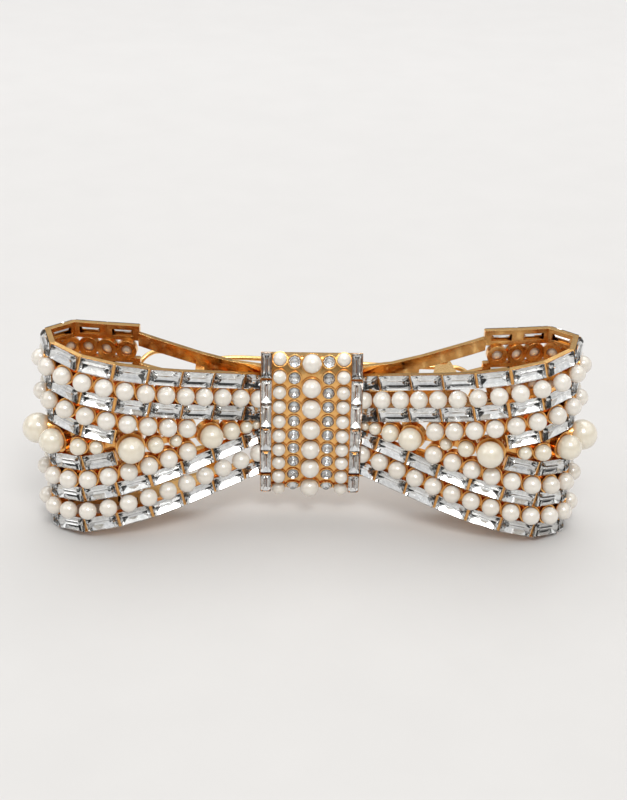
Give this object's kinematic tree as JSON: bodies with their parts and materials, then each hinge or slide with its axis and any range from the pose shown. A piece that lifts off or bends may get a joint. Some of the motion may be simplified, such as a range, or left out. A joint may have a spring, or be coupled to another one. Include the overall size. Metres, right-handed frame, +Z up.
{
  "type": "rhinestone bow hair barrette",
  "caption": "Bow-shaped hair barrette of gilt links set with baguette crystals and pearls, with a jewelled knot and a hinged wire spring clip behind.",
  "frame": {"origin": "centre of the whole clip's bounding box", "axes": "+X along the bow, +Y from the jewelled front towards the hair, +Z up when the clip stands on its loops' lower rails"},
  "size_m": [0.1268, 0.0365, 0.0456],
  "materials": {
    "gold_frame": "polished gold plating",
    "clip_metal": "polished gold plating",
    "spring_metal": "satin gold plating",
    "crystal": "step-cut clear crystal",
    "rhinestone": "faceted foil-backed crystal",
    "pearl": "satin pearl lustre",
    "large_pearl": "satin pearl lustre"
  },
  "bodies": {
    "bow": {"right_back_lattice": "gold_frame", "left_back_lattice": "gold_frame", "right_rails": "gold_frame", "left_rails": "gold_frame", "right_upper_cups": "gold_frame", "left_upper_cups": "gold_frame", "right_lower_cups": "gold_frame", "left_lower_cups": "gold_frame", "right_middle_cups": "gold_frame", "left_middle_cups": "gold_frame", "knot_band": "gold_frame", "knot_back_plate": "gold_frame", "right_loop_baguettes": "crystal", "left_loop_baguettes": "crystal", "knot_baguettes": "crystal", "knot_rhinestones": "rhinestone", "right_loop_pearls": "pearl", "left_loop_pearls": "pearl", "right_middle_pearls": "large_pearl", "left_middle_pearls": "large_pearl", "right_tip_pearl": "large_pearl", "left_tip_pearl": "large_pearl", "knot_side_pearls": "pearl", "knot_centre_pearls": "pearl", "clip_base": "clip_metal", "strut_spacers": "clip_metal", "mounting_rivets": "clip_metal", "spring_rivet": "clip_metal", "hinge_pin": "clip_metal"},
    "arm": {"clasp_arm": "clip_metal"},
    "spring": {"tension_spring": "spring_metal"},
    "upper_finger": {"upper_latch_finger": "clip_metal"},
    "lower_finger": {"lower_latch_finger": "clip_metal"}
  },
  "joints": [
    {"name": "clasp_hinge", "type": "hinge", "parent": "bow", "child": "arm", "pos_m": [0.03, 0.0113, 0.003], "axis": [0, 0, -1], "range_deg": [0, 70]},
    {"name": "spring_flex", "type": "hinge", "parent": "bow", "child": "spring", "pos_m": [0.0285, 0.00286, 0.003], "axis": [0, 0, 1], "range_deg": [0, 4], "stiffness_Nm_per_rad": 0.05},
    {"name": "upper_finger_squeeze", "type": "hinge", "parent": "bow", "child": "upper_finger", "pos_m": [-0.025, 0.00262, 0.0067], "axis": [-1, 0, 0], "range_deg": [0, 7]},
    {"name": "lower_finger_squeeze", "type": "hinge", "parent": "bow", "child": "lower_finger", "pos_m": [-0.025, 0.00262, -0.0007], "axis": [1, 0, 0], "range_deg": [0, 7]}
  ]
}
